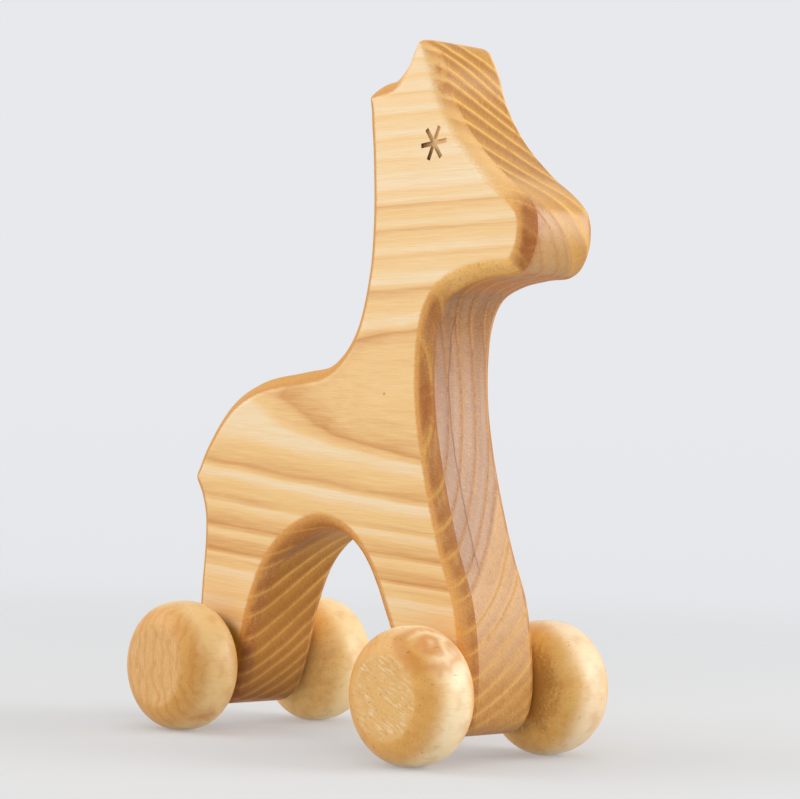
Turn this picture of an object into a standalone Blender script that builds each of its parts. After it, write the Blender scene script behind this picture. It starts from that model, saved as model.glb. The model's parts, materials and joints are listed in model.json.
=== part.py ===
"""A rolling giraffe toy: a plank body on two axles, each with two turned wheels.

Metres, +Z up. The giraffe faces +X and stands on the floor at z = 0, with the origin under the middle of its
length.
"""

from math import asin, cos, pi, sin, tau

import bmesh
import bpy
from mathutils import Vector

# Plank body: the chest's top above the axles, and the neck from there up to the eye
PLANK_THICKNESS = 0.0256
EDGE_ROUND = 0.0035
CHEST_HEIGHT = 0.0845
NECK_LENGTH = 0.0546

# Wheels: each side is a turned dome whose tip is sanded off to a flat, measured from the largest circle
WHEEL_DIAMETER = 0.035
WHEEL_OUTER_FLAT = 0.0106
WHEEL_OUTER_SANDED = 0.0011
WHEEL_OUTER_FULLNESS = 2.9
WHEEL_INNER_FLAT = 0.0098
WHEEL_INNER_SANDED = 0.0004
WHEEL_INNER_FULLNESS = 2.3
WHEELBASE = 0.090

# Axles
AXLE_DIAMETER = 0.008
AXLE_CHAMFER = 0.0006
AXLE_GRIP = 0.013

# Clearances
AXLE_PLAY = 0.0003
GLUE_GAP = 0.0003
WHEEL_GAP = 0.0009

# Carved eye: a star of equal strokes, forward of the front axle
EYE_FORWARD = -0.0099
EYE_SPAN = 0.0092
EYE_STROKE = 0.0015
EYE_DEPTH = 0.0008
EYE_ARMS = 6
EYE_TURN = 0.11

# Finish: the angle past which an edge stays sharp, and how the rounded edge narrows towards a tight corner
SHARP_ANGLE = pi / 8
CORNER_SHARE = 0.95
CORNER_EASE = 0.5

# Facets
WHEEL_SIDES = 44
AXLE_SIDES = 32
DOME_STEPS = 6
OUTLINE_STEPS = 4
ROUND_STEPS = 4

# Outline landmarks in millimetres, each group forward of and above its own mark: an axle for a leg, the back and
# the arch, the chest's top above the front axle for the chest and nape, and the eye for the head. The outline runs
# forward under the arch, up the chest, round the head and back over the rump.
FRONT_LEG = (
    (-36, 34.5), (-22.7, 13.8), (-17.3, 1.5), (-12.5, -7.2), (-6.5, -11), (0.7, -11), (6.1, -8.2), (8.3, 0),
    (7.7, 12.5), (5.4, 23.6), (0.1, 36),
)
CHEST = (
    (-6.5, -28.5), (-10, -12.5), (-10.6, 0),
)
JAW = (
    (0.9, -44.3), (4.1, -39.4), (11.7, -35.8), (20.9, -34.2),
)
NOSE_AND_FOREHEAD = (
    (29.2, -33.2), (32.5, -29.5), (34, -23.6), (33.1, -17.7), (29.9, -14), (20.9, -7.6), (10.4, 2), (3.6, 11.5),
)
HORN_AND_EAR = (
    (-1.9, 23.6), (-6.3, 27.4), (-9.5, 25.5), (-12.5, 21.3), (-16.6, 17.8), (-22.1, 16.6), (-25.7, 14.1),
    (-26.2, 10.4), (-25.1, -1.1),
)
NAPE = (
    (-34.1, 35), (-35.4, 20), (-40.4, 5.5), (-48.8, -1.9),
)
BACK_AND_TAIL = (
    (31, 80.7), (13.5, 77.8), (2.7, 72.8), (-5.9, 64), (-11.8, 54.6), (-12.8, 51), (-10.2, 45), (-8.9, 40.5),
)
REAR_LEG = (
    (-9.8, 16.5), (-9.6, 0), (-7.8, -7.8), (-3, -10.8), (3, -10.8), (7.6, -8.2), (11.8, 0.5), (16, 15.8),
)
ARCH = (
    (22, 28.1), (31, 35.9), (42, 39.3),
)

MILLIMETRE = 0.001
WHEEL_RADIUS = WHEEL_DIAMETER / 2
SIDE_Y = PLANK_THICKNESS / 2
WHEEL_Y = SIDE_Y + WHEEL_GAP + WHEEL_INNER_FLAT
EYE_HEIGHT = CHEST_HEIGHT + NECK_LENGTH


def clear_scene():
    for old in list(bpy.data.objects):
        bpy.data.objects.remove(old)


def wood(name, colour, roughness):
    made = bpy.data.materials.new(name)
    made.use_nodes = True
    shader = made.node_tree.nodes["Principled BSDF"]
    shader.inputs["Base Color"].default_value = (*colour, 1)
    shader.inputs["Roughness"].default_value = roughness
    shader.inputs["Metallic"].default_value = 0
    return made


def add_object(name, mesh, material, parent=None, location=(0, 0, 0), turn=0):
    made = bpy.data.objects.new(name, mesh)
    bpy.context.scene.collection.objects.link(made)
    made.parent = parent
    made.location = location
    made.rotation_euler.z = turn
    if material:
        mesh.materials.append(material)
    return made


def add_cutter(name, mesh, target):
    """Cuts the mesh out of the target, which also carries it."""
    cutter = add_object(name, mesh, None, target)
    cutter.hide_render = True
    cutter.display_type = "WIRE"
    cut = target.modifiers.new(name, "BOOLEAN")
    cut.operation = "DIFFERENCE"
    cut.solver = "EXACT"
    cut.object = cutter


def closed_mesh(name, rings):
    """Bridges rings of points in order and caps the first and the last."""
    shape = bmesh.new()
    loops = [[shape.verts.new(point) for point in ring] for ring in rings]
    for near, far in zip(loops, loops[1:]):
        for i in range(len(near)):
            shape.faces.new((near[i - 1], near[i], far[i], far[i - 1]))
    shape.faces.new(loops[0])
    shape.faces.new(loops[-1])
    bmesh.ops.recalc_face_normals(shape, faces=shape.faces)
    mesh = bpy.data.meshes.new(name)
    shape.to_mesh(mesh)
    shape.free()
    mesh.shade_smooth()
    mesh.set_sharp_from_angle(angle=SHARP_ANGLE)
    return mesh


def turned_mesh(name, profile, sides, centre=(0, 0, 0)):
    """A solid turned about the Y axis from (radius, y) pairs. A flat of the polygon lies underneath."""
    angles = [(i + 0.5) * tau / sides for i in range(sides)]
    rings = [
        [Vector(centre) + Vector((r * sin(a), y, r * cos(a))) for a in angles]
        for r, y in profile
    ]
    return closed_mesh(name, rings)


def smooth_outline(landmarks, steps):
    """A closed curve through the landmarks: cubic spans, with each tangent half way between its two chords."""
    count = len(landmarks)
    chords = [landmarks[(i + 1) % count] - landmarks[i] for i in range(count)]
    tangents = [(chords[i - 1].normalized() + chords[i].normalized()).normalized() for i in range(count)]
    points = []
    for i, start in enumerate(landmarks):
        end = landmarks[(i + 1) % count]
        reach = chords[i].length
        leave = tangents[i] * reach
        arrive = tangents[(i + 1) % count] * reach
        for step in range(steps):
            t = step / steps
            points.append(
                start * (2 * t**3 - 3 * t**2 + 1)
                + leave * (t**3 - 2 * t**2 + t)
                + end * (3 * t**2 - 2 * t**3)
                + arrive * (t**3 - t**2)
            )
    return points


def giraffe_outline(rear_axle, front_axle):
    """Points of the side view, from the axles' places, as 2-D vectors of x and height above the axles."""
    front = Vector((front_axle, 0))
    rear = Vector((rear_axle, 0))
    chest = Vector((front_axle, CHEST_HEIGHT))
    eye = Vector((front_axle + EYE_FORWARD, EYE_HEIGHT))
    landmarks = []
    for mark, group in (
        (front, FRONT_LEG),
        (chest, CHEST),
        (eye, JAW + NOSE_AND_FOREHEAD + HORN_AND_EAR),
        (chest, NAPE),
        (rear, BACK_AND_TAIL + REAR_LEG + ARCH),
    ):
        landmarks += [mark + Vector(point) * MILLIMETRE for point in group]
    return smooth_outline(landmarks, OUTLINE_STEPS)


def outward_normals(points):
    """Normals of an outline that runs anticlockwise."""
    found = []
    for i in range(len(points)):
        along = points[(i + 1) % len(points)] - points[i - 1]
        found.append(Vector((along.y, -along.x)).normalized())
    return found


def edge_insets(points, normals):
    """How far the rounded edge reaches in at each point: EDGE_ROUND, eased to less where a corner is tighter."""
    corners = []
    for i, point in enumerate(points):
        ahead = (i + 1) % len(points)
        turn = normals[i].cross(normals[ahead])
        if turn > 0:
            radius = (points[ahead] - point).length / turn
            corners.append((point, CORNER_SHARE * radius))
    insets = []
    for point in points:
        limits = [reach + CORNER_EASE * (point - corner).length for corner, reach in corners]
        insets.append(min(EDGE_ROUND, *limits))
    return insets


def body_mesh(outline):
    normals = outward_normals(outline)
    insets = edge_insets(outline, normals)
    flat_y = SIDE_Y - EDGE_ROUND
    section = []
    for i in range(ROUND_STEPS + 1):
        angle = pi / 2 * (1 - i / ROUND_STEPS)
        section.append((-flat_y - EDGE_ROUND * sin(angle), 1 - cos(angle)))
    section += [(-y, share) for y, share in reversed(section)]
    rings = [
        [
            Vector((p.x - n.x * inset * share, y, p.y - n.y * inset * share))
            for p, n, inset in zip(outline, normals, insets)
        ]
        for y, share in section
    ]
    return closed_mesh("giraffe_body", rings)


def eye_mesh(name, centre_x, side):
    """A star-shaped plug that stands half out of one side face."""
    arm = EYE_SPAN / 2
    half = EYE_STROKE / 2
    notch = half / sin(pi / EYE_ARMS)
    star = []
    for i in range(EYE_ARMS):
        angle = EYE_TURN + i * tau / EYE_ARMS
        along = Vector((cos(angle), sin(angle)))
        across = Vector((-sin(angle), cos(angle))) * half
        between = angle + pi / EYE_ARMS
        star.append(along * arm - across)
        star.append(along * arm + across)
        star.append(Vector((cos(between), sin(between))) * notch)
    rings = [
        [(centre_x + p.x, side * y, EYE_HEIGHT + p.y) for p in star]
        for y in (SIDE_Y - EYE_DEPTH, SIDE_Y + EYE_DEPTH)
    ]
    return closed_mesh(name, rings)


def add_body(outline, axles, material):
    body = add_object("giraffe_body", body_mesh(outline), material, location=(0, 0, WHEEL_RADIUS))
    bore = AXLE_DIAMETER / 2 + AXLE_PLAY
    past = PLANK_THICKNESS
    for name, x in axles.items():
        plug = turned_mesh(name + "_bore", ((bore, -past), (bore, past)), AXLE_SIDES, (x, 0, 0))
        add_cutter(name + "_bore", plug, body)
    for name, side in (("right_eye", -1), ("left_eye", 1)):
        add_cutter(name, eye_mesh(name, axles["front"] + EYE_FORWARD, side), body)
    return body


def dome(flat, sanded, fullness):
    """Radii of one half of a wheel from its largest circle to its flat, as (radius, distance) pairs."""
    tread = WHEEL_RADIUS / cos(pi / WHEEL_SIDES)
    depth = flat + sanded
    end = asin((flat / depth) ** (fullness / 2))
    half = []
    for i in range(DOME_STEPS + 1):
        angle = end * i / DOME_STEPS
        half.append((tread * cos(angle) ** (2 / fullness), depth * sin(angle) ** (2 / fullness)))
    return half


def wheel_mesh():
    outer = dome(WHEEL_OUTER_FLAT, WHEEL_OUTER_SANDED, WHEEL_OUTER_FULLNESS)
    inner = [(r, -y) for r, y in dome(WHEEL_INNER_FLAT, WHEEL_INNER_SANDED, WHEEL_INNER_FULLNESS)]
    bore = AXLE_DIAMETER / 2 + GLUE_GAP
    blind_end = AXLE_GRIP + GLUE_GAP - WHEEL_INNER_FLAT
    profile = outer[::-1] + inner[1:] + [(bore, -WHEEL_INNER_FLAT), (bore, blind_end)]
    return turned_mesh("wheel", profile, WHEEL_SIDES)


def axle_mesh():
    radius = AXLE_DIAMETER / 2
    end = SIDE_Y + WHEEL_GAP + AXLE_GRIP
    half = [(radius - AXLE_CHAMFER, end), (radius, end - AXLE_CHAMFER)]
    profile = half + [(r, -y) for r, y in reversed(half)]
    return turned_mesh("axle", profile, AXLE_SIDES)


def add_wheelset(name, x, body, axle_wood, wheel_wood):
    """An axle and its two wheels on an empty that lies on their axis."""
    pivot = bpy.data.objects.new(name + "_pivot", None)
    bpy.context.scene.collection.objects.link(pivot)
    pivot.parent = body
    pivot.location = (x, 0, 0)
    add_object(name + "_axle", axle_mesh(), axle_wood, pivot)
    for side, turn, y in (("right", pi, -WHEEL_Y), ("left", 0, WHEEL_Y)):
        add_object(f"{name}_{side}_wheel", wheel_mesh(), wheel_wood, pivot, (0, y, 0), turn)


def main():
    clear_scene()
    from_rear_axle = giraffe_outline(0, WHEELBASE)
    middle = (max(p.x for p in from_rear_axle) - WHEEL_RADIUS) / 2
    axles = {"rear": -middle, "front": WHEELBASE - middle}
    outline = giraffe_outline(axles["rear"], axles["front"])
    body = add_body(outline, axles, wood("oiled_ash", (0.78, 0.56, 0.29), 0.45))
    axle_wood = wood("axle_beech", (0.66, 0.45, 0.24), 0.55)
    wheel_wood = wood("turned_birch", (0.80, 0.58, 0.30), 0.42)
    for name, x in axles.items():
        add_wheelset(name, x, body, axle_wood, wheel_wood)


main()
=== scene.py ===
import json
from math import cos, pi, radians, sin, tau

import bmesh
import bpy
from mathutils import Matrix, Vector
from mathutils.geometry import interpolate_bezier


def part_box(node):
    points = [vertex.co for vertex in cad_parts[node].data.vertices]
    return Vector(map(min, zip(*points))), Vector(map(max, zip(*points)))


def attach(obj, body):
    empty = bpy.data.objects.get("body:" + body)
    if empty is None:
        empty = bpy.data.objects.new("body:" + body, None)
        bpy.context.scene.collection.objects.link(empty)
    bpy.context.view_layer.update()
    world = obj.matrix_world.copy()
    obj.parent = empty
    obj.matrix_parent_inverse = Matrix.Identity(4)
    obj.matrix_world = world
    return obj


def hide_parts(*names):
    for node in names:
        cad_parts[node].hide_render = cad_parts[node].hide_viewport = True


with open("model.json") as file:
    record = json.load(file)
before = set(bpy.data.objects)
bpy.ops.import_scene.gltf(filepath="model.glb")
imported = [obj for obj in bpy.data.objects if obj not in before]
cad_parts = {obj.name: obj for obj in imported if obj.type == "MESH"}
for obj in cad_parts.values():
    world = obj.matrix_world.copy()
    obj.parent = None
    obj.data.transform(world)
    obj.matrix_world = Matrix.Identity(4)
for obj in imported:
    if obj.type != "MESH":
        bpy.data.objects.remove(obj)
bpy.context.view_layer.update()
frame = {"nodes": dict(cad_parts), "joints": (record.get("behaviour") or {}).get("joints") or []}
mm = 0.001
scene = bpy.context.scene
axles = {joint["child"]: Vector(joint["pos_m"]) for joint in frame["joints"]}
print("frame loaded,", len(frame["nodes"]), "nodes")


# small helpers for node trees

def srgb(red, green, blue):
    def linear(level):
        share = level / 255
        return share / 12.92 if share <= 0.04045 else ((share + 0.055) / 1.055) ** 2.4
    return (linear(red), linear(green), linear(blue), 1)


def feed(tree, socket, value):
    if isinstance(value, bpy.types.NodeSocket):
        tree.links.new(value, socket)
    else:
        socket.default_value = value


def calc(tree, operation, *values):
    node = tree.nodes.new("ShaderNodeMath")
    node.operation = operation
    for socket, value in zip(node.inputs, values):
        feed(tree, socket, value)
    return node.outputs[0]


def times(tree, value, *others):
    for other in others:
        value = calc(tree, "MULTIPLY", value, other)
    return value


def plus(tree, value, *others):
    for other in others:
        value = calc(tree, "ADD", value, other)
    return value


def rise(tree, value, low, high, top=1.0):   # 0 below low, top above high, smooth between
    node = tree.nodes.new("ShaderNodeMapRange")
    node.interpolation_type = "SMOOTHSTEP"
    feed(tree, node.inputs["Value"], value)
    node.inputs["From Min"].default_value = low
    node.inputs["From Max"].default_value = high
    node.inputs["To Max"].default_value = top
    return node.outputs["Result"]


def mixTones(tree, share, first, second, blend="MIX"):
    node = tree.nodes.new("ShaderNodeMix")
    node.data_type = "RGBA"
    node.blend_type = blend
    feed(tree, node.inputs[0], share)
    feed(tree, node.inputs[6], first)
    feed(tree, node.inputs[7], second)
    return node.outputs[2]


def stretch(tree, point, scales):
    node = tree.nodes.new("ShaderNodeVectorMath")
    node.operation = "MULTIPLY"
    feed(tree, node.inputs[0], point)
    node.inputs[1].default_value = scales
    return node.outputs[0]


def noise(tree, point, detail=2.0, roughness=0.5):
    node = tree.nodes.new("ShaderNodeTexNoise")
    node.inputs["Scale"].default_value = 1
    node.inputs["Detail"].default_value = detail
    node.inputs["Roughness"].default_value = roughness
    feed(tree, node.inputs["Vector"], point)
    return node.outputs["Fac"]


def sway(tree, value, reach):   # a noise value as a push of up to reach either way
    return calc(tree, "MULTIPLY_ADD", value, 2 * reach, -reach)


def ramp(tree, value, stops):
    node = tree.nodes.new("ShaderNodeValToRGB")
    feed(tree, node.inputs[0], value)
    elements = node.color_ramp.elements
    for stop in stops[2:]:
        elements.new(stop[0])
    for element, (place, level) in zip(elements, stops):
        element.position = place
        element.color = (level, level, level, 1)
    return node.outputs[0]


def split(tree, point):
    node = tree.nodes.new("ShaderNodeSeparateXYZ")
    feed(tree, node.inputs[0], point)
    return node.outputs


def combine(tree, x, y, z):
    node = tree.nodes.new("ShaderNodeCombineXYZ")
    for socket, value in zip(node.inputs, (x, y, z)):
        feed(tree, socket, value)
    return node.outputs[0]


def pieceAttribute(tree, name):
    node = tree.nodes.new("ShaderNodeAttribute")
    node.attribute_name = name
    return node.outputs["Fac"]


def newFinish(name, roughness, shine):
    material = bpy.data.materials.new(name)
    material.use_nodes = True
    tree = material.node_tree
    shader = tree.nodes["Principled BSDF"]
    shader.inputs["Roughness"].default_value = roughness
    shader.inputs["Specular IOR Level"].default_value = shine
    return material, tree, shader


def setOut(tree, centre=(0, 0, 0), turn=(0, 0, 0)):   # a place on the piece in mm, turned in degrees
    place = tree.nodes.new("ShaderNodeTexCoord")
    node = tree.nodes.new("ShaderNodeMapping")
    node.vector_type = "TEXTURE"
    node.inputs["Location"].default_value = centre
    node.inputs["Rotation"].default_value = [radians(angle) for angle in turn]
    node.inputs["Scale"].default_value = (mm, mm, mm)
    tree.links.new(place.outputs["Object"], node.inputs["Vector"])
    return node.outputs[0]


def spotDistance(tree, point, spot):
    node = tree.nodes.new("ShaderNodeVectorMath")
    node.operation = "DISTANCE"
    feed(tree, node.inputs[0], point)
    node.inputs[1].default_value = spot[:3]
    return node.outputs["Value"]


def addRelief(tree, shader, height, depth):
    node = tree.nodes.new("ShaderNodeBump")
    node.inputs["Distance"].default_value = depth
    feed(tree, node.inputs["Height"], height)
    tree.links.new(node.outputs[0], shader.inputs["Normal"])


# camera at the photographer's place

cameraLook = {
    "position": (0.51165, -0.48050, 0.08391),
    "azimuth": 46.302,      # degrees
    "elevation": -0.618,
    "roll": 1.731,
    "lens": 118.67,
    "sensor": 36.0,
    "clipStart": 0.01,
}


def addCamera(look):
    turn, lift, roll = (radians(look[key]) for key in ("azimuth", "elevation", "roll"))
    back = Vector((sin(turn) * cos(lift), -cos(turn) * cos(lift), sin(lift)))
    right = Vector((cos(turn), sin(turn), 0))
    up = back.cross(right)
    across = right * cos(roll) + up * sin(roll)
    above = up * cos(roll) - right * sin(roll)
    lens = bpy.data.cameras.new("photoCamera")
    lens.lens = look["lens"]
    lens.sensor_width = look["sensor"]
    lens.clip_start = look["clipStart"]
    camera = bpy.data.objects.new("photoCamera", lens)
    scene.collection.objects.link(camera)
    pose = Matrix((across, above, back)).transposed().to_4x4()
    pose.translation = look["position"]
    camera.matrix_world = pose
    scene.camera = camera


addCamera(cameraLook)
print("camera set")


# plank body: the sawn outline with its edges rounded over, two axle holes and a carved eye on each side

bodyShape = {
    "arrisPlane": 9.3 * mm,      # where the rounded edge meets the sawn edge face
    "spacing": 0.6 * mm,
    "roundWidth": 4.4 * mm,
    "stripShare": 1.08,          # a narrow flat strip inside it keeps the shading of the side face even
    "arrisBreak": 24,            # degrees left between the rounded edge and the edge face
    "roundSteps": 8,
    "faceSteps": 6,
    "cornerShare": 0.72,         # the most of a corner's own radius that the rounding takes
    "cornerReach": 1.0 * mm,
    "evenReach": 5,              # neighbours that even out the width
    "foldTries": 12,
    "foldShare": 0.04,           # taken off at each try
    "holeRadius": 4.3 * mm,
    "holeSides": 48,
    "holeMargin": 0.4 * mm,      # flat face left between a hole and the strip
    "sharpAngle": 16,            # degrees
}
eyeShape = {
    "forward": -9.9 * mm,        # from the front axle
    "height": 139.1 * mm,
    "span": 9.2 * mm,
    "stroke": 1.25 * mm,
    "depth": 0.5 * mm,
    "arms": 6,
    "turn": 0.11,                # radians
}


def sawnOutline(node, plane, spacing):
    shape = bmesh.new()
    shape.from_mesh(node.data)
    nearby = 0.001 * mm
    bmesh.ops.remove_doubles(shape, verts=shape.verts, dist=nearby)
    inPlane = {v for v in shape.verts if abs(v.co.y + plane) < 10 * nearby}
    walk = [max(inPlane, key=lambda v: v.co.z)]
    while True:
        around = [edge.other_vert(walk[-1]) for edge in walk[-1].link_edges]
        fresh = [v for v in around if v in inPlane and v not in walk[-2:]]
        if len(walk) > 2 and walk[0] in fresh:
            break
        walk.append(fresh[0])
    corners = [Vector((v.co.x, v.co.z)) for v in walk]
    shape.free()
    count = len(corners)
    area = sum(corners[i - 1].cross(corners[i]) for i in range(count))
    if area < 0:
        corners.reverse()
    chords = [corners[(i + 1) % count] - corners[i] for i in range(count)]
    slopes = []
    for i in range(count):
        before, after = chords[i - 1], chords[i]
        slope = before.normalized() * after.length + after.normalized() * before.length
        slopes.append(slope.normalized())
    points = []
    for i, chord in enumerate(chords):
        start, end = corners[i], corners[(i + 1) % count]
        reach = chord.length / 3
        steps = max(2, round(chord.length / spacing) + 1)
        handles = (start + slopes[i] * reach, end - slopes[(i + 1) % count] * reach)
        points += interpolate_bezier(start, *handles, end, steps)[:-1]
    return [Vector(point[:2]) for point in points]


def outwardNormals(outline):
    count = len(outline)
    along = [outline[(i + 1) % count] - outline[i - 1] for i in range(count)]
    return [Vector((step.y, -step.x)).normalized() for step in along]


def roundWidths(outline, normals, sizes):   # the rounded edge narrows towards a tight corner or a hole
    widths = []
    for point, normal in zip(outline, normals):
        width = sizes["roundWidth"]
        for other in outline:
            gap = other - point
            inward = -normal.dot(gap)
            if inward > 0 and gap.length > sizes["cornerReach"]:
                width = min(width, sizes["cornerShare"] * gap.length_squared / (2 * inward))
        for axle in axles.values():
            room = (point - axle.xz).length - sizes["holeRadius"] - sizes["holeMargin"]
            width = min(width, room / sizes["stripShare"])
        widths.append(width)
    count = len(widths)
    reach = sizes["evenReach"]
    around = range(1 - reach, reach)
    widths = [sum(widths[(i + k) % count] for k in around) / len(around) for i in range(count)]
    for attempt in range(sizes["foldTries"]):   # narrower still where its inner line turns back
        inner = [p - n * width * sizes["stripShare"] for p, n, width in zip(outline, normals, widths)]
        for i in range(count):
            if (inner[i] - inner[i - 1]).dot(outline[i] - outline[i - 1]) < 0:
                for k in around:
                    widths[(i + k) % count] *= 1 - sizes["foldShare"] * (1 - abs(k) / reach)
    return widths


def starPoints(sizes):
    half = sizes["stroke"] / 2
    notch = half / sin(pi / sizes["arms"])
    points = []
    for i in range(sizes["arms"]):
        angle = sizes["turn"] + i * tau / sizes["arms"]
        along = Vector((cos(angle), sin(angle)))
        across = Vector((-sin(angle), cos(angle))) * half
        between = angle + pi / sizes["arms"]
        points += [along * sizes["span"] / 2 - across, along * sizes["span"] / 2 + across]
        points.append(Vector((cos(between), sin(between))) * notch)
    return points


def addLoop(shape, points):
    verts = [shape.verts.new(point) for point in points]
    edges = [shape.edges.new((verts[i - 1], verts[i])) for i in range(len(verts))]
    return verts, edges


def bridge(shape, near, far, material=0):
    for i in range(len(near)):
        face = shape.faces.new((near[i - 1], near[i], far[i], far[i - 1]))
        face.material_index = material


def markCorners(mesh, name, values):   # a number on each corner of the mesh, for its material
    layer = mesh.attributes.new(name, "FLOAT", "CORNER")
    layer.data.foreach_set("value", values)


def bodyMesh(sizes, eye):
    outline = sawnOutline(frame["nodes"]["giraffe_body"], sizes["arrisPlane"], sizes["spacing"])
    normals = outwardNormals(outline)
    widths = roundWidths(outline, normals, sizes)
    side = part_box("giraffe_body")[1].y
    fall = side - sizes["arrisPlane"]
    end = pi / 2 - radians(sizes["arrisBreak"])
    section = [(side, sizes["stripShare"])]
    for i in range(sizes["roundSteps"] + 1):
        angle = end * i / sizes["roundSteps"]
        section.append((side - fall * (1 - cos(angle)) / (1 - cos(end)), 1 - sin(angle) / sin(end)))
    mirrored = [(-y, share) for y, share in reversed(section)]
    steps = sizes["faceSteps"]
    section += [(sizes["arrisPlane"] * (1 - 2 * i / steps), 0) for i in range(1, steps)]
    section += mirrored

    shape = bmesh.new()
    rings = []
    for y, share in section:
        placed = [p - n * width * share for p, n, width in zip(outline, normals, widths)]
        rings.append([shape.verts.new((p.x, y, p.y)) for p in placed])
    for near, far in zip(rings, rings[1:]):
        bridge(shape, near, far)

    star = starPoints(eye)
    front = axles["front_wheelset"]
    eyeCentre = Vector((front.x + eye["forward"], front.z + eye["height"]))
    holes = {}
    for y, ring in ((side, rings[0]), (-side, rings[-1])):
        edges = [shape.edges.get((ring[i - 1], ring[i])) for i in range(len(ring))]
        rim, rimEdges = addLoop(shape, [(eyeCentre.x + p.x, y, eyeCentre.y + p.y) for p in star])
        floorY = y - eye["depth"] * (1 if y > 0 else -1)
        floor = addLoop(shape, [(v.co.x, floorY, v.co.z) for v in rim])[0]
        bridge(shape, rim, floor, 1)
        bottom = shape.faces.new(floor)
        bottom.material_index = 1
        edges += rimEdges
        for axle in axles.values():
            radius = sizes["holeRadius"]
            angles = [i * tau / sizes["holeSides"] for i in range(sizes["holeSides"])]
            circle = [(axle.x + radius * cos(a), y, axle.z + radius * sin(a)) for a in angles]
            hole, holeEdges = addLoop(shape, circle)
            holes.setdefault(axle.x, []).append(hole)
            edges += holeEdges
        bmesh.ops.triangle_fill(shape, edges=edges, use_beauty=True)
    for near, far in holes.values():
        bridge(shape, near, far)
    bmesh.ops.recalc_face_normals(shape, faces=shape.faces)
    mesh = bpy.data.meshes.new("giraffe_plank")
    shape.to_mesh(mesh)
    shape.free()
    mesh.shade_smooth()
    mesh.set_sharp_from_angle(angle=radians(sizes["sharpAngle"]))
    facings = [corner.vector.copy() for corner in mesh.corner_normals]
    markCorners(mesh, "endGrain", [abs(facing.x) for facing in facings])    # 1 where the fibres end
    markCorners(mesh, "lean", [facing.xz.length for facing in facings])     # 1 on the sawn edge
    return mesh, eyeCentre


# ash plank: growth rings round a pith line behind the near side
# they show as figure on the sides and as rings on the end grain

plankLook = {
    "pith": (-53.26, 93.53),         # y and z of the pith line at x = 0, in mm
    "pithSlope": (0.043, -0.022),
    "rings": (                       # distances from the pith
        36.8, 42.6, 47.9, 52.8, 57.6, 62.3, 65.2, 71.7,
        76.4, 82.0, 86.7, 90.9, 94.2, 98.0, 100.9, 104.8,
    ),
    # how dark the late wood of each ring is, as a broad band and as a line
    "broadDark": (0.2, 0.15, 0.35, 0.05, 0.22, 0.2, 0.06, 0.06, 0.1, 0.2, 0.2, 0.2, 0.2, 0.2, 0.2, 0.2),
    "lineDark": (0.2, 0.38, 0.45, 0.1, 0.42, 0.5, 0.1, 0.1, 0.15, 0.2, 0.2, 0.2, 0.2, 0.2, 0.2, 0.2),
    "ringSpan": (34.0, 112.0),
    "earlyWidth": 0.9,               # mm from a dark line to the pale wood after it
    "poreLine": (0.5, 1.3),          # where the line of large pores lies on the end grain
    "lateStart": 1.8,
    "swell": 1.1,                    # bends the inmost ring to an oval on the shoulder
    "fibre": (0.03, 1.5, 0.6),       # how fine the streaks are along x, outward and round the pith
    "roundPith": 45,
    "grain": {                       # how fine each pattern is along x, y and z, per mm
        "broad": (0.011, 0.03, 0.03),
        "ripple": (0.05, 0.22, 0.22),
        "pores": (0.16, 4.5, 4.5),
        "speck": (1.8, 2.8, 2.8),
        "blotch": (0.3, 0.45, 0.45),
        "streak": (0.5, 0.9, 0.16),
    },
    "zones": {                       # x and then z, from where a zone begins to where it is full
        "shin": ((30, 40), (100, 80)),
        "nose": ((52, 60), (100, 110)),
        "brow": ((16, 22), (140, 150)),
        "jaw": ((20, 30), (100, 110)),
        "back": ((24, 14), (72, 80)),
        "arch": ((30, 24), (90, 75)),
    },
    "tailEnd": (-46, -52),
    "heartRadius": 65.6,
    "creamSide": srgb(245, 222, 184),
    "goldSide": srgb(242, 198, 130),
    "lateSide": srgb(208, 140, 62),
    "edgeTone": srgb(224, 154, 72),
    "edgeDark": srgb(190, 114, 36),
    "bandLate": srgb(164, 92, 24),
    "shinBand": srgb(232, 168, 84),
    "browAndNoseSheenTone": srgb(238, 186, 112),
    "browDeep": srgb(206, 130, 40),
    "heartEnd": srgb(173, 125, 80),
    "heartDark": srgb(140, 88, 48),
    "heartLine": srgb(200, 138, 74),
    "sapEnd": srgb(196, 138, 42),
    "sapDark": srgb(160, 98, 12),
    "sapLine": srgb(232, 180, 94),
    "shinEnd": srgb(192, 142, 88),
    "jawToneWithBounce": srgb(254, 200, 112),
    "backTone": srgb(217, 158, 50),
    "crackAndShadeTone": srgb(120, 62, 20),
    "stain": srgb(168, 88, 14),
    "stainShape": (1, 1, 0.5),       # stains are taller than they are wide
    "stains": (                      # x, y, z, reach and strength
        (31, -10.7, 90, 4, 0.6),
        (33, -10.5, 171.2, 2.4, 0.4),
        (30.8, -10.5, 174.5, 1.8, 0.4),
        (65, -10.6, 134, 5, 0.6),
        (63.5, -10.6, 126.5, 4, 0.6),
    ),
    "hubShadeTone": srgb(160, 146, 84),   # painted shade: the wood is darkened by this beside the wheels, where they shade it
    "hubShadeReach": (15, 11.5),          # from the axle
    "hubShadeDepth": (7, 12.5),           # from the plank's middle plane
    "hubShadeFront": (47, 43),            # x where it ends, short of the front foot's face
    "hubShadeShare": 0.95,
    "crack": (-4.1, 48, 111),        # y of a fine upright line on the chest, and its lowest and highest z
    "knot": (16.2, -12.8, 92.6, 0.6),   # x, y, z and reach
    "roughness": (0.34, 0.6),        # on the smooth wood and in the pore lines
    "shine": 0.5,
    "relief": 0.04 * mm,
}


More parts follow.
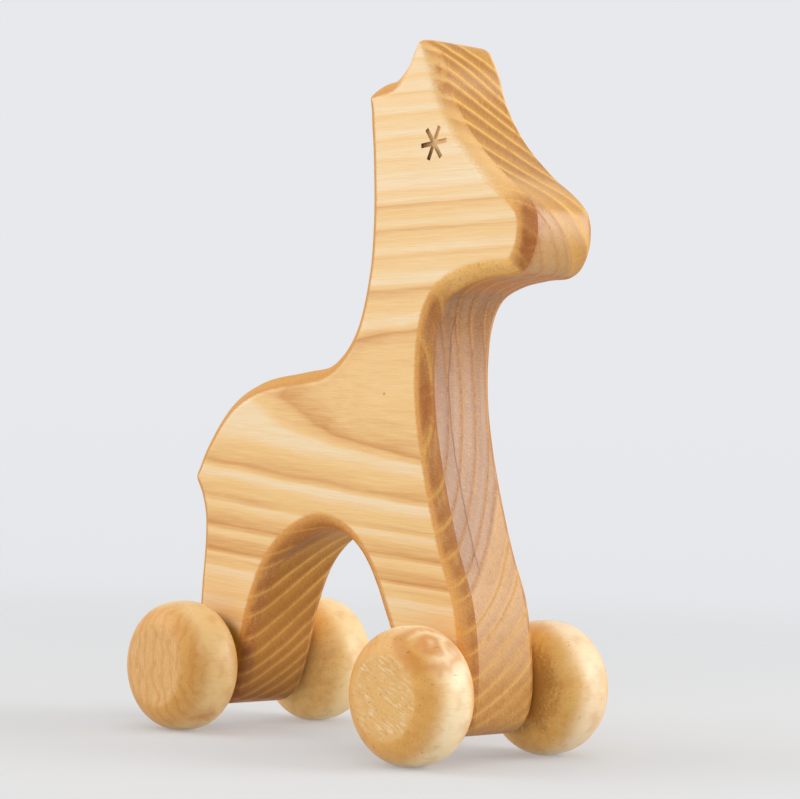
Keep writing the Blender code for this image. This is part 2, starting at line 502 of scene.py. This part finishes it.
def plankWood(look):
    material, tree, shader = newFinish("oiledAshPlank", look["roughness"][0], look["shine"])
    point = setOut(tree)
    x, y, z = split(tree, point)

    def grain(name, *detail):
        return noise(tree, stretch(tree, point, look["grain"][name]), *detail)

    def zone(name):
        reachX, reachZ = look["zones"][name]
        return times(tree, rise(tree, x, *reachX), rise(tree, z, *reachZ))

    pithY, pithZ = look["pith"]
    slopeY, slopeZ = look["pithSlope"]
    fromPithY = calc(tree, "SUBTRACT", y, calc(tree, "MULTIPLY_ADD", x, slopeY, pithY))
    fromPithZ = calc(tree, "SUBTRACT", z, calc(tree, "MULTIPLY_ADD", x, slopeZ, pithZ))
    squared = calc(tree, "MULTIPLY_ADD", fromPithY, fromPithY, calc(tree, "POWER", fromPithZ, 2))
    distance = calc(tree, "SQRT", squared)
    bearing = calc(tree, "ARCTAN2", fromPithZ, fromPithY)
    broad = grain("broad", 1.0)
    ripple = grain("ripple", 2.0)
    level = calc(tree, "ABSOLUTE", fromPithZ)
    swell = times(tree, rise(tree, x, 14, -8, look["swell"]), rise(tree, level, 16, 4))
    radius = plus(tree, distance, swell, sway(tree, broad, 0.6), sway(tree, ripple, 0.25))

    low, high = look["ringSpan"]
    span = high - low
    falls, broads, lines = [], [], []
    for ring, broadDark, lineDark in zip(look["rings"], look["broadDark"], look["lineDark"]):
        falls += [((ring - low) / span, 1), ((ring + look["earlyWidth"] - low) / span, 0)]
        broads.append(((ring - 1 - low) / span, broadDark))
        lines.append(((ring - 1 - low) / span, lineDark))

    def along(ahead):                      # the place between the rings, a little further from the pith
        return calc(tree, "DIVIDE", plus(tree, radius, ahead - low), span)

    place = along(0)
    phase = ramp(tree, place, falls)       # rises through a ring and falls at its dark line
    broadLate = times(tree, calc(tree, "POWER", phase, 2), ramp(tree, place, broads))
    lineLate = times(tree, calc(tree, "POWER", phase, 12), ramp(tree, place, lines))
    nearPores = ramp(tree, along(look["poreLine"][0]), falls)
    endPores = ramp(tree, along(look["poreLine"][1]), falls)
    farPores = ramp(tree, along(look["lateStart"]), falls)
    poreLine = rise(tree, calc(tree, "SUBTRACT", nearPores, endPores), 0.1, 0.8)

    # figure on the flat sides, with streaks that follow the growth layers
    layers = combine(tree, x, radius, times(tree, bearing, look["roundPith"]))
    fibre = noise(tree, stretch(tree, layers, look["fibre"]), 3.0, 0.6)
    pores = grain("pores", 2.0, 0.6)
    onHead = rise(tree, z, 90, 150)
    outer = rise(tree, radius, 63, 67)
    figure = plus(tree, broadLate, lineLate)
    golden = calc(tree, "MULTIPLY_ADD", onHead, -0.2, 0.4)
    golden = times(tree, golden, calc(tree, "MULTIPLY_ADD", outer, -0.6, 1))
    figure = plus(tree, figure, times(tree, rise(tree, phase, 0.05, 0.5), golden))
    onTop = rise(tree, z, 122, 150)
    lift = plus(tree, rise(tree, radius, 50.5, 54, 0.2), rise(tree, radius, 47, 43, 0.08))
    midRings = times(tree, rise(tree, radius, 57.5, 58.5, 0.12), rise(tree, radius, 66, 63))
    lift = plus(tree, lift, midRings, calc(tree, "MULTIPLY_ADD", onTop, -0.12, 0.1))
    figure = plus(tree, figure, lift)
    for pattern, strength in ((fibre, 0.3), (pores, 0.18), (broad, 0.25)):
        figure = plus(tree, figure, sway(tree, pattern, strength))
    sideTone = mixTones(tree, rise(tree, figure, -0.1, 0.6), look["creamSide"], look["goldSide"])
    sideTone = mixTones(tree, rise(tree, figure, 0.45, 1.3), sideTone, look["lateSide"])
    knot = rise(tree, spotDistance(tree, point, look["knot"]), look["knot"][3], 0.1, 0.7)
    sideTone = mixTones(tree, knot, sideTone, look["stain"])

    # end grain: dark heartwood inside the heart radius, sapwood outside
    rayPlace = combine(tree, times(tree, bearing, 260), times(tree, radius, 0.3), 0)
    rays = noise(tree, rayPlace, 2.0)
    speck = grain("speck", 2.0, 0.8)
    blotch = grain("blotch", 2.0, 0.6)
    heart = rise(tree, radius, look["heartRadius"] + 0.4, look["heartRadius"] - 0.4)
    lateTone = mixTones(tree, heart, look["sapDark"], look["heartDark"])
    heartTone = mixTones(tree, rise(tree, nearPores, 0.5, 1.0, 0.8), look["heartEnd"], look["heartDark"])
    upright = combine(tree, times(tree, radius, 0.3), times(tree, z, 0.03), 0)
    patchy = noise(tree, upright, 1.0)
    heartTone = mixTones(tree, rise(tree, patchy, 0.45, 0.65, 0.45), heartTone, look["heartDark"])
    uneven = rise(tree, blotch, 0.2, 0.6, 0.85)
    heartTone = mixTones(tree, times(tree, poreLine, uneven), heartTone, look["heartLine"])
    onShin = zone("shin")
    sapTone = mixTones(tree, times(tree, onShin, 0.5), look["sapEnd"], look["shinEnd"])
    darkShare = calc(tree, "MULTIPLY_ADD", onShin, -0.5, 0.8)
    sapDark = times(tree, rise(tree, farPores, 0.15, 0.95), darkShare)
    sapTone = mixTones(tree, sapDark, sapTone, look["sapDark"])
    faint = times(tree, onShin, rise(tree, patchy, 0.6, 0.4, 0.35))
    sapLine = calc(tree, "MULTIPLY_ADD", onShin, -0.4, calc(tree, "SUBTRACT", 0.85, faint))
    sapLine = times(tree, poreLine, calc(tree, "MAXIMUM", sapLine, 0))
    sapTone = mixTones(tree, sapLine, sapTone, look["sapLine"])
    endTone = mixTones(tree, heart, sapTone, heartTone)
    endTone = mixTones(tree, rise(tree, rays, 0.5, 0.72, 0.25), endTone, look["sapLine"])
    endTone = mixTones(tree, rise(tree, blotch, 0.5, 0.75, 0.4), endTone, lateTone)
    endTone = mixTones(tree, rise(tree, speck, 0.5, 0.3, 0.45), endTone, lateTone)
    endTone = mixTones(tree, rise(tree, speck, 0.52, 0.7, 0.35), endTone, look["sapLine"])
    # painted sheen: the nose's end grain is paled towards the brow tone
    endTone = mixTones(tree, times(tree, zone("nose"), 0.3), endTone, look["browAndNoseSheenTone"])
    crackY, crackLow, crackHigh = look["crack"]
    beside = plus(tree, calc(tree, "SUBTRACT", y, crackY), sway(tree, ripple, 0.6))
    onChest = times(tree, rise(tree, z, crackLow, crackLow + 2), rise(tree, x, 15, 20))
    onChest = times(tree, onChest, rise(tree, z, crackHigh + 4, crackHigh))
    crack = times(tree, rise(tree, calc(tree, "ABSOLUTE", beside), 0.4, 0.1, 0.6), onChest)
    # painted shade: the chest on the near side of the line is darkened a little
    shade = times(tree, rise(tree, beside, 0.1, -0.1, 0.18), onChest)
    endTone = mixTones(tree, calc(tree, "MAXIMUM", crack, shade), endTone, look["crackAndShadeTone"])

    # rounded edges, sanded across the fibres
    fuzz = plus(tree, sway(tree, pores, 0.08), sway(tree, speck, 0.12))
    lean = plus(tree, pieceAttribute(tree, "lean"), fuzz)
    cut = plus(tree, pieceAttribute(tree, "endGrain"), fuzz)
    onBrow = zone("brow")
    bandTone = mixTones(tree, rise(tree, lean, 0.25, 0.9), look["edgeTone"], look["edgeDark"])
    bandTone = mixTones(tree, rise(tree, cut, 0.3, 0.8, 0.35), bandTone, endTone)
    streak = grain("streak", 2.0, 0.6)
    onFront = rise(tree, cut, 0.35, 0.6)
    streaked = times(tree, rise(tree, streak, 0.5, 0.62, 0.5), onFront)
    bandTone = mixTones(tree, streaked, bandTone, look["bandLate"])
    bandTone = mixTones(tree, rise(tree, streak, 0.47, 0.33, 0.25), bandTone, look["sapLine"])
    lateBand = times(tree, rise(tree, farPores, 0.4, 0.95, 0.7), onFront)
    bandTone = mixTones(tree, lateBand, bandTone, look["bandLate"])
    bandTone = mixTones(tree, times(tree, poreLine, 0.5), bandTone, look["sapLine"])
    paleShin = times(tree, onShin, rise(tree, z, 56, 40, 0.7), rise(tree, lean, 0.88, 0.6))
    bandTone = mixTones(tree, paleShin, bandTone, look["shinBand"])
    bandTone = mixTones(tree, rise(tree, speck, 0.5, 0.3, 0.5), bandTone, look["bandLate"])
    bandTone = mixTones(tree, rise(tree, speck, 0.52, 0.7, 0.4), bandTone, look["sapLine"])
    facing = calc(tree, "DIVIDE", cut, calc(tree, "MAXIMUM", lean, 0.05))
    # the jaw band's golden tone is set pale, as painted bounce light from below on this downward-facing
    # band
    onJaw = times(tree, zone("jaw"), rise(tree, lean, 0.98, 0.85), rise(tree, facing, 0.85, 0.35, 0.8))
    jawToneWithBounce = mixTones(tree, rise(tree, speck, 0.5, 0.35, 0.4), look["jawToneWithBounce"], look["edgeDark"])
    jawToneWithBounce = mixTones(tree, rise(tree, streak, 0.5, 0.7, 0.3), jawToneWithBounce, look["edgeDark"])
    bandTone = mixTones(tree, onJaw, bandTone, jawToneWithBounce)
    onBack = calc(tree, "MAXIMUM", zone("back"), rise(tree, x, *look["tailEnd"]))
    backBand = mixTones(tree, rise(tree, lean, 0.75, 0.35, 0.5), look["backTone"], look["edgeDark"])
    backBand = mixTones(tree, rise(tree, speck, 0.5, 0.3, 0.4), backBand, look["bandLate"])
    bandTone = mixTones(tree, times(tree, onBack, 0.7), bandTone, backBand)
    browEnd = times(tree, rise(tree, lean, 0.3, 0.85), rise(tree, z, 150, 166))
    browEnd = times(tree, browEnd, rise(tree, farPores, 0.1, 0.9, 0.8))   # darker late wood near the horn
    browBand = mixTones(tree, browEnd, look["browAndNoseSheenTone"], look["browDeep"])
    browBand = mixTones(tree, rise(tree, speck, 0.5, 0.3, 0.3), browBand, look["browDeep"])
    bandTone = mixTones(tree, onBrow, bandTone, browBand)
    browLean = plus(tree, lean, sway(tree, pores, 0.5))
    frontShare = rise(tree, lean, 0.05, 0.2, 0.92)
    bandShare = mixTones(tree, onBack, frontShare, rise(tree, lean, 0.14, 0.32, 0.92))
    bandShare = mixTones(tree, onBrow, bandShare, rise(tree, browLean, 0.1, 0.7, 0.85))
    tone = mixTones(tree, bandShare, sideTone, bandTone)

    # sawn edge faces, stains, painted shade in the arch and beside the wheels, and painted bounce light
    # under the belly
    ends = times(tree, rise(tree, cut, 0.25, 0.6), rise(tree, lean, 0.88, 0.98))
    inArch = zone("arch")
    # painted shade: the end grain low inside the arch is darkened towards the late-wood tone
    archLegShade = times(tree, inArch, rise(tree, z, 48, 32, 0.45))
    archEndShadeAndBounce = mixTones(tree, archLegShade, endTone, look["sapDark"])
    # painted bounce light under the belly: the sapwood end grain is paled there, while the heartwood is
    # darkened
    bellyBounceLight = times(tree, inArch, rise(tree, z, 44, 60, 0.6))
    bellyPaleSapDarkHeart = mixTones(tree, heart, look["sapLine"], look["sapDark"])
    archEndShadeAndBounce = mixTones(tree, bellyBounceLight, archEndShadeAndBounce, bellyPaleSapDarkHeart)
    tone = mixTones(tree, ends, tone, archEndShadeAndBounce)
    squeezed = stretch(tree, point, look["stainShape"])
    for *spot, reach, strength in look["stains"]:
        centre = [along * share for along, share in zip(spot, look["stainShape"])]
        near = plus(tree, spotDistance(tree, squeezed, centre), sway(tree, blotch, 4))
        mark = rise(tree, near, reach, reach * 0.2, strength)
        tone = mixTones(tree, times(tree, mark, rise(tree, cut, 0.3, 0.6)), tone, look["stain"])
    # painted shade low in the arch, on the sawn edge faces
    lowArchShade = times(tree, inArch, ends, rise(tree, z, 24, 8, 0.5))
    tone = mixTones(tree, lowArchShade, tone, look["hubShadeTone"], "MULTIPLY")
    # painted shade on the plank beside each wheel, darkest near the axle
    hubShadeSide = rise(tree, calc(tree, "ABSOLUTE", y), *look["hubShadeDepth"], look["hubShadeShare"])
    hubShadeSide = times(tree, hubShadeSide, rise(tree, x, *look["hubShadeFront"]))
    for axle in axles.values():
        fromAxle = spotDistance(tree, combine(tree, x, 0, z), (axle.x / mm, 0, axle.z / mm))
        hubShade = times(tree, rise(tree, fromAxle, *look["hubShadeReach"]), hubShadeSide)
        tone = mixTones(tree, hubShade, tone, look["hubShadeTone"], "MULTIPLY")
    tree.links.new(tone, shader.inputs["Base Color"])
    smooth, porous = look["roughness"]
    dull = calc(tree, "SUBTRACT", bandShare, ends)
    for rougher in (times(tree, poreLine, ends), times(tree, inArch, ends), crack):
        dull = calc(tree, "MAXIMUM", dull, rougher)
    dull = times(tree, dull, porous - smooth)
    tree.links.new(plus(tree, dull, smooth), shader.inputs["Roughness"])
    addRelief(tree, shader, plus(tree, fibre, pores), look["relief"])
    return material


eyeLook = {
    "dark": srgb(134, 92, 58),
    "light": srgb(236, 192, 134),
    "slant": (-0.09, -0.07),         # the mark is darker towards its lower rear
    "middle": 0.32,
    "spread": 0.05,
    "grain": (0.8, 0.8, 0.8),        # per mm
    "roughness": 0.6,
    "shine": 0.2,
}


def burntEye(look, centre):
    material, tree, shader = newFinish("burntEye", look["roughness"], look["shine"])
    point = setOut(tree, (centre.x, 0, centre.y))
    place = split(tree, point)
    x, z = place["X"], place["Z"]
    outward = calc(tree, "SQRT", calc(tree, "MULTIPLY_ADD", x, x, calc(tree, "POWER", z, 2)))
    blotch = noise(tree, stretch(tree, point, look["grain"]), 2.0)
    burn = calc(tree, "MULTIPLY_ADD", x, look["slant"][0], times(tree, z, look["slant"][1]))
    burn = plus(tree, burn, calc(tree, "MULTIPLY_ADD", outward, look["spread"], look["middle"]))
    burn = plus(tree, burn, sway(tree, blotch, 0.2))
    tone = mixTones(tree, rise(tree, burn, 0.0, 1.0), look["light"], look["dark"])
    tree.links.new(tone, shader.inputs["Base Color"])
    return material


def addPiece(name, mesh, body, node):
    piece = bpy.data.objects.new(name, mesh)
    scene.collection.objects.link(piece)
    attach(piece, body)
    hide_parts(node)


plankMesh, eyeCentre = bodyMesh(bodyShape, eyeShape)
plankMesh.materials.append(plankWood(plankLook))
plankMesh.materials.append(burntEye(eyeLook, eyeCentre))
addPiece("giraffe_plank", plankMesh, "body", "giraffe_body")
print("plank body made,", len(plankMesh.polygons), "faces")


# turned ball wheels: one Geometry Nodes tree turns the profile of each

wheelShape = {
    "Radius": 17.5 * mm,
    "Outer Flat": 10.6 * mm,     # from the plane of the largest circle
    "Outer Sanded": 1.1 * mm,    # what the sanding took off the outer dome
    "Outer Fullness": 2.9,
    "Inner Flat": 9.8 * mm,
    "Inner Sanded": 0.4 * mm,
    "Inner Fullness": 2.3,
    "Flat Softness": 0.5 * mm,
    "Bore": 4.3 * mm,
    "Bore Depth": 13.3 * mm,
}
wheelMesh = {
    "sides": 128,
    "halfRows": 26,
    "mergeGap": 0.002 * mm,
    "sharpAngle": 40,            # degrees
}


def turningTree(sizes, mesh):
    tree = bpy.data.node_groups.new("turnedWheel", "GeometryNodeTree")
    for name in sizes:
        tree.interface.new_socket(name, in_out="INPUT", socket_type="NodeSocketFloat")
    tree.interface.new_socket("Finish", in_out="INPUT", socket_type="NodeSocketMaterial")
    tree.interface.new_socket("Geometry", in_out="OUTPUT", socket_type="NodeSocketGeometry")
    size = tree.nodes.new("NodeGroupInput").outputs
    half = mesh["halfRows"]
    rows = 2 * half + 3          # two domes, then the wall and the end of the blind bore
    grid = tree.nodes.new("GeometryNodeMeshGrid")
    grid.inputs["Vertices X"].default_value = mesh["sides"] + 1
    grid.inputs["Vertices Y"].default_value = rows
    u, v = split(tree, grid.outputs["UV Map"])[:2]
    row = times(tree, v, rows - 1)
    inner = calc(tree, "GREATER_THAN", row, half + 0.5)

    def pick(outerValue, innerValue):
        node = tree.nodes.new("ShaderNodeMix")
        feed(tree, node.inputs[0], inner)
        feed(tree, node.inputs[2], outerValue)
        feed(tree, node.inputs[3], innerValue)
        return node.outputs[0]

    flat = pick(size["Outer Flat"], size["Inner Flat"])
    depth = plus(tree, flat, pick(size["Outer Sanded"], size["Inner Sanded"]))
    power = calc(tree, "DIVIDE", 2, pick(size["Outer Fullness"], size["Inner Fullness"]))
    lift = calc(tree, "ABSOLUTE", calc(tree, "SUBTRACT", calc(tree, "DIVIDE", row, half), 1))
    boreShare = calc(tree, "DIVIDE", size["Bore"], size["Radius"])
    boreMouth = calc(tree, "ARCCOSINE", calc(tree, "POWER", boreShare, calc(tree, "DIVIDE", 1, power)))
    angle = times(tree, calc(tree, "MINIMUM", lift, 1), pick(pi / 2, boreMouth))
    reach = calc(tree, "POWER", calc(tree, "MAXIMUM", calc(tree, "COSINE", angle), 0), power)
    rim = times(tree, size["Radius"], reach)
    dome = times(tree, depth, calc(tree, "POWER", calc(tree, "SINE", angle), power))
    height = calc(tree, "SMOOTH_MIN", dome, flat, size["Flat Softness"])
    height = times(tree, height, pick(1, -1))
    inBore = calc(tree, "GREATER_THAN", row, 2 * half + 0.5)
    boreEnd = calc(tree, "SUBTRACT", size["Bore Depth"], size["Inner Flat"])
    toEnd = calc(tree, "SUBTRACT", boreEnd, height)
    height = plus(tree, height, times(tree, inBore, toEnd))
    rim = times(tree, rim, calc(tree, "LESS_THAN", row, 2 * half + 1.5))
    aroundAxle = times(tree, u, tau)
    place = combine(
        tree,
        times(tree, rim, calc(tree, "SINE", aroundAxle)),
        height,
        times(tree, rim, calc(tree, "COSINE", aroundAxle)),
    )
    turn = tree.nodes.new("GeometryNodeSetPosition")
    tree.links.new(grid.outputs["Mesh"], turn.inputs["Geometry"])
    tree.links.new(place, turn.inputs["Position"])
    facet = tree.nodes.new("GeometryNodeStoreNamedAttribute")
    facet.inputs["Name"].default_value = "facet"
    tree.links.new(turn.outputs[0], facet.inputs["Geometry"])
    sanded = calc(tree, "DIVIDE", calc(tree, "SUBTRACT", dome, flat), size["Outer Sanded"])
    tree.links.new(pick(sanded, -1), facet.inputs["Value"])
    close = tree.nodes.new("GeometryNodeMergeByDistance")
    close.inputs["Distance"].default_value = mesh["mergeGap"]
    tree.links.new(facet.outputs[0], close.inputs["Geometry"])
    realize = tree.nodes.new("GeometryNodeRealizeInstances")
    tree.links.new(close.outputs[0], realize.inputs["Geometry"])
    finish = tree.nodes.new("GeometryNodeSetMaterial")
    tree.links.new(realize.outputs[0], finish.inputs["Geometry"])
    tree.links.new(size["Finish"], finish.inputs["Material"])
    out = tree.nodes.new("NodeGroupOutput")
    tree.links.new(finish.outputs[0], out.inputs["Geometry"])
    return tree


def turnWheel(tree, sizes, sharpAngle, finish, place):
    blank = bpy.data.objects.new("wheelBlank", bpy.data.meshes.new("wheelBlank"))
    scene.collection.objects.link(blank)
    modifier = blank.modifiers.new("turning", "NODES")
    modifier.node_group = tree
    inputs = {item.name: item.identifier for item in tree.interface.items_tree if item.in_out == "INPUT"}
    for name, value in sizes.items():
        modifier[inputs[name]] = value
    modifier[inputs["Finish"]] = finish
    ready = blank.evaluated_get(bpy.context.evaluated_depsgraph_get())
    mesh = bpy.data.meshes.new_from_object(ready)
    bpy.data.objects.remove(blank)
    mesh.transform(place)
    shape = bmesh.new()
    shape.from_mesh(mesh)
    bmesh.ops.recalc_face_normals(shape, faces=shape.faces)
    shape.to_mesh(mesh)
    shape.free()
    mesh.shade_smooth()
    mesh.set_sharp_from_angle(angle=radians(sharpAngle))
    markCorners(mesh, "endGrain", [abs(normal.vector.y) for normal in mesh.corner_normals])
    return mesh


# places are in mm from the middle of each wheel, and a knot's reach comes last
wheelLooks = {
    "front_right_wheel": {
        "body": "front_wheelset",
        "tan": srgb(230, 174, 94), "cream": srgb(246, 222, 178), "facet": srgb(232, 188, 122),
        "pith": (26, 30), "spacing": 3.4, "ringDark": 0.1,
        "torn": 0.65, "tornTurn": 22, "dashes": 0.75, "legShade": 0.5, "knot": (9.4, -4.6, 13.8, 14),
    },
    "front_left_wheel": {
        "body": "front_wheelset",
        "tan": srgb(230, 180, 98), "cream": srgb(242, 214, 172), "facet": srgb(232, 188, 126),
        "pith": (-34, 12), "spacing": 3.0, "ringDark": 0.1,
        "torn": 0.4, "tornTurn": 10, "dashes": 0.5, "legShade": 0.75, "knot": (-9, 6, -12, 8),
    },
    "rear_right_wheel": {
        "body": "rear_wheelset",
        "tan": srgb(222, 166, 90), "cream": srgb(240, 204, 142), "facet": srgb(228, 180, 118),
        "pith": (58, 6), "spacing": 3.4, "ringDark": 0.3,
        "torn": 0.25, "tornTurn": 84, "dashes": 0.15, "legShade": 0.4, "knot": (10, -3, -11, 7),
    },
    "rear_left_wheel": {
        "body": "rear_wheelset",
        "tan": srgb(246, 202, 126), "cream": srgb(246, 216, 160), "facet": srgb(232, 188, 126),
        "pith": (20, -40), "spacing": 3.2, "ringDark": 0.1,
        "torn": 0.4, "tornTurn": -20, "dashes": 0.2, "legShade": 0.2, "knot": (-7, 5, 13, 7),
    },
}
birchLook = {
    "dash": srgb(140, 84, 36),
    "legShade": srgb(150, 98, 40),       # painted shade on the inner domes, beside the legs
    "torn": srgb(250, 226, 182),
    "knot": srgb(202, 128, 44),
    "roughness": 0.34,
    "shine": 0.34,
    "relief": 0.04 * mm,
    "grain": {                       # how fine each pattern is along x, y and z, per mm
        "broad": (0.09, 0.03, 0.09),
        "fibre": (1.6, 0.06, 1.6),
        "mottle": (0.2, 0.2, 0.2),
        "speck": (2.2, 1.4, 2.2),
        "dashes": (1.5, 0.17, 1.5),
        "strokes": (0.3, 0.1, 1.5),
    },
}


def turnedBirch(name, centre, look, birch):   # the fibres run along the axle
    material, tree, shader = newFinish(name, birch["roughness"], birch["shine"])
    point = setOut(tree, centre)
    x, y, z = split(tree, point)

    def grain(name, *detail, where=point):
        return noise(tree, stretch(tree, where, birch["grain"][name]), *detail)

    broad = grain("broad", 2.0)
    fibre = grain("fibre", 3.0, 0.6)
    mottle = grain("mottle", 2.0)
    speck = grain("speck", 2.0, 0.6)
    cut = plus(tree, pieceAttribute(tree, "endGrain"), sway(tree, broad, 0.15), sway(tree, fibre, 0.1))
    tone = mixTones(tree, rise(tree, cut, 0.1, 0.85), look["cream"], look["tan"])
    tone = mixTones(tree, rise(tree, mottle, 0.45, 0.75, 0.3), tone, birch["knot"])
    alongRim = times(tree, rise(tree, fibre, 0.5, 0.75, 0.15), rise(tree, cut, 0.8, 0.3))
    tone = mixTones(tree, alongRim, tone, birch["knot"])
    inward = times(tree, y, -1 if centre.y > 0 else 1)
    # painted shade: the middle of an inner dome is darkened beside the leg
    legShade = times(tree, rise(tree, cut, 0.85, 1.0, look["legShade"]), rise(tree, inward, 2, 6))
    tone = mixTones(tree, legShade, tone, birch["legShade"])
    facet = rise(tree, pieceAttribute(tree, "facet"), -0.2, 0.15)
    tone = mixTones(tree, times(tree, facet, 0.7), tone, look["facet"])
    pith = spotDistance(tree, combine(tree, x, 0, z), (look["pith"][0], 0, look["pith"][1]))
    turns = calc(tree, "DIVIDE", plus(tree, pith, sway(tree, mottle, 3.5)), look["spacing"] / tau)
    ring = rise(tree, calc(tree, "SINE", turns), -0.2, 1.0, look["ringDark"])
    tone = mixTones(tree, times(tree, ring, rise(tree, cut, 0.3, 0.75)), tone, birch["knot"])
    onEnds = rise(tree, cut, 0.3, 0.8)
    speckled = times(tree, rise(tree, speck, 0.5, 0.3, 0.3), onEnds)
    tone = mixTones(tree, speckled, tone, birch["knot"])
    knotReach = look["knot"][3]
    knot = plus(tree, spotDistance(tree, point, look["knot"]), sway(tree, mottle, 3.5))
    whorl = calc(tree, "MULTIPLY_ADD", calc(tree, "SINE", knot), 0.3, 0.5)
    whorl = times(tree, whorl, rise(tree, knot, knotReach * 0.8, knotReach * 0.4))
    tone = mixTones(tree, whorl, tone, birch["knot"])
    dashes = grain("dashes", 1.0)
    tone = mixTones(tree, rise(tree, dashes, 0.715, 0.77, look["dashes"]), tone, birch["dash"])
    slanted = setOut(tree, centre, (0, look["tornTurn"], 0))
    strokes = grain("strokes", 2.0, 0.6, where=slanted)
    darkStrokes = times(tree, rise(tree, strokes, 0.44, 0.3, 0.3), facet)
    tone = mixTones(tree, darkStrokes, tone, birch["knot"])
    patches = rise(tree, mottle, 0.35, 0.65)
    torn = times(tree, rise(tree, strokes, 0.48, 0.68, look["torn"]), facet, patches)
    tone = mixTones(tree, torn, tone, birch["torn"])
    tree.links.new(tone, shader.inputs["Base Color"])
    addRelief(tree, shader, plus(tree, fibre, times(tree, torn, 2)), birch["relief"])
    return material


wheelTree = turningTree(wheelShape, wheelMesh)
for name, look in wheelLooks.items():
    low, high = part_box(name)
    outward = 1 if low.y > 0 else -1
    facing = 0 if outward > 0 else pi
    outerFace = high.y if outward > 0 else low.y
    axle = axles[look["body"]]
    centre = Vector((axle.x, outerFace - outward * wheelShape["Outer Flat"], axle.z))
    finish = turnedBirch("turnedBirch_" + name, centre, look, birchLook)
    place = Matrix.Translation(centre) @ Matrix.Rotation(facing, 4, "Z")
    mesh = turnWheel(wheelTree, wheelShape, wheelMesh["sharpAngle"], finish, place)
    addPiece("turned_" + name, mesh, look["body"], name)
    print("wheel turned:", name)


# axles stay as they are, in plain beech

axleLook = {
    "pale": srgb(214, 170, 112),
    "dark": srgb(176, 124, 72),
    "roughness": 0.55,
    "shine": 0.3,
    "grain": (2.0, 0.08, 2.0),       # per mm along x, y and z
    "relief": 0.03 * mm,
}


def axleBeech(look):
    material, tree, shader = newFinish("axleBeech", look["roughness"], look["shine"])
    fibre = noise(tree, stretch(tree, setOut(tree), look["grain"]), 3.0, 0.6)
    tone = mixTones(tree, rise(tree, fibre, 0.35, 0.7), look["pale"], look["dark"])
    tree.links.new(tone, shader.inputs["Base Color"])
    addRelief(tree, shader, fibre, look["relief"])
    return material


beech = axleBeech(axleLook)
for name in ("front_axle", "rear_axle"):
    node = frame["nodes"][name]
    node.data.materials.clear()
    node.data.materials.append(beech)
print("axles finished")


# studio: a pale floor that fades into a pale surround, and soft boxes

studio = {
    "floorTone": srgb(212, 212, 212),
    "floorShare": 0.7,               # how much of the floor shows against the surround at its middle
    "floorReach": (0.12, 0.72),      # the floor fades out between these distances from the middle
    "floorEdge": 0.756,
    "floorSides": 96,
    "floorRoughness": 0.9,
    "floorShine": 0.1,
    "surroundHigh": srgb(231, 233, 237),
    "surroundLow": srgb(228, 229, 231),
    "surroundRise": (-0.11, 0.02),   # where the low tone turns to the high one
    "surroundLight": 0.6,
    "aim": (0, 0, 0.08),             # what the soft boxes face
}
softBoxes = {
    "rightBox": {"place": (0.73, 0.69, 0.44), "size": 0.8, "power": 7.4},
    "leftBox": {"place": (-0.62, -0.66, 0.55), "size": 0.9, "power": 4.4},
    "frontBox": {"place": (0.75, -0.7, 0.7), "size": 0.8, "power": 1.9},
    "topBox": {"place": (0.0, 0.0, 0.95), "size": 0.7, "power": 1.3},
}


def addFloor(look):
    shape = bmesh.new()
    bmesh.ops.create_circle(shape, cap_ends=True, segments=look["floorSides"], radius=look["floorEdge"])
    mesh = bpy.data.meshes.new("paleFloor")
    shape.to_mesh(mesh)
    shape.free()
    material, tree, shader = newFinish("paleFloor", look["floorRoughness"], look["floorShine"])
    shader.inputs["Base Color"].default_value = look["floorTone"]
    place = tree.nodes.new("ShaderNodeTexCoord")
    x, y = split(tree, place.outputs["Object"])[:2]
    away = calc(tree, "SQRT", calc(tree, "MULTIPLY_ADD", x, x, calc(tree, "POWER", y, 2)))
    near, far = look["floorReach"]
    tree.links.new(rise(tree, away, far, near, look["floorShare"]), shader.inputs["Alpha"])
    mesh.materials.append(material)
    floor = bpy.data.objects.new("paleFloor", mesh)
    scene.collection.objects.link(floor)


def addSurround(look):
    world = bpy.data.worlds.new("paleSurround")
    world.use_nodes = True
    scene.world = world
    tree = world.node_tree
    light = tree.nodes["Background"]
    light.inputs["Color"].default_value = (1, 1, 1, 1)
    light.inputs["Strength"].default_value = look["surroundLight"]
    seen = tree.nodes.new("ShaderNodeBackground")
    direction = tree.nodes.new("ShaderNodeTexCoord")
    upward = split(tree, direction.outputs["Generated"])["Z"]
    share = rise(tree, upward, *look["surroundRise"])
    tree.links.new(mixTones(tree, share, look["surroundLow"], look["surroundHigh"]), seen.inputs["Color"])
    path = tree.nodes.new("ShaderNodeLightPath")
    mirror = calc(tree, "MAXIMUM", path.outputs["Is Glossy Ray"], path.outputs["Is Transmission Ray"])
    shown = calc(tree, "MAXIMUM", path.outputs["Is Camera Ray"], mirror)
    choose = tree.nodes.new("ShaderNodeMixShader")
    tree.links.new(shown, choose.inputs[0])
    tree.links.new(light.outputs[0], choose.inputs[1])
    tree.links.new(seen.outputs[0], choose.inputs[2])
    tree.links.new(choose.outputs[0], tree.nodes["World Output"].inputs["Surface"])


def addSoftBox(name, box, target):
    lamp = bpy.data.lights.new(name, "AREA")
    lamp.shape = "DISK"
    lamp.size = box["size"]
    lamp.energy = box["power"]
    holder = bpy.data.objects.new(name, lamp)
    holder.location = box["place"]
    aim = Vector(target) - Vector(box["place"])
    holder.rotation_euler = aim.to_track_quat("-Z", "Y").to_euler()
    holder.visible_camera = False
    scene.collection.objects.link(holder)


addFloor(studio)
addSurround(studio)
for name, box in softBoxes.items():
    addSoftBox(name, box, studio["aim"])
scene.view_settings.view_transform = "Standard"
print("studio lit")
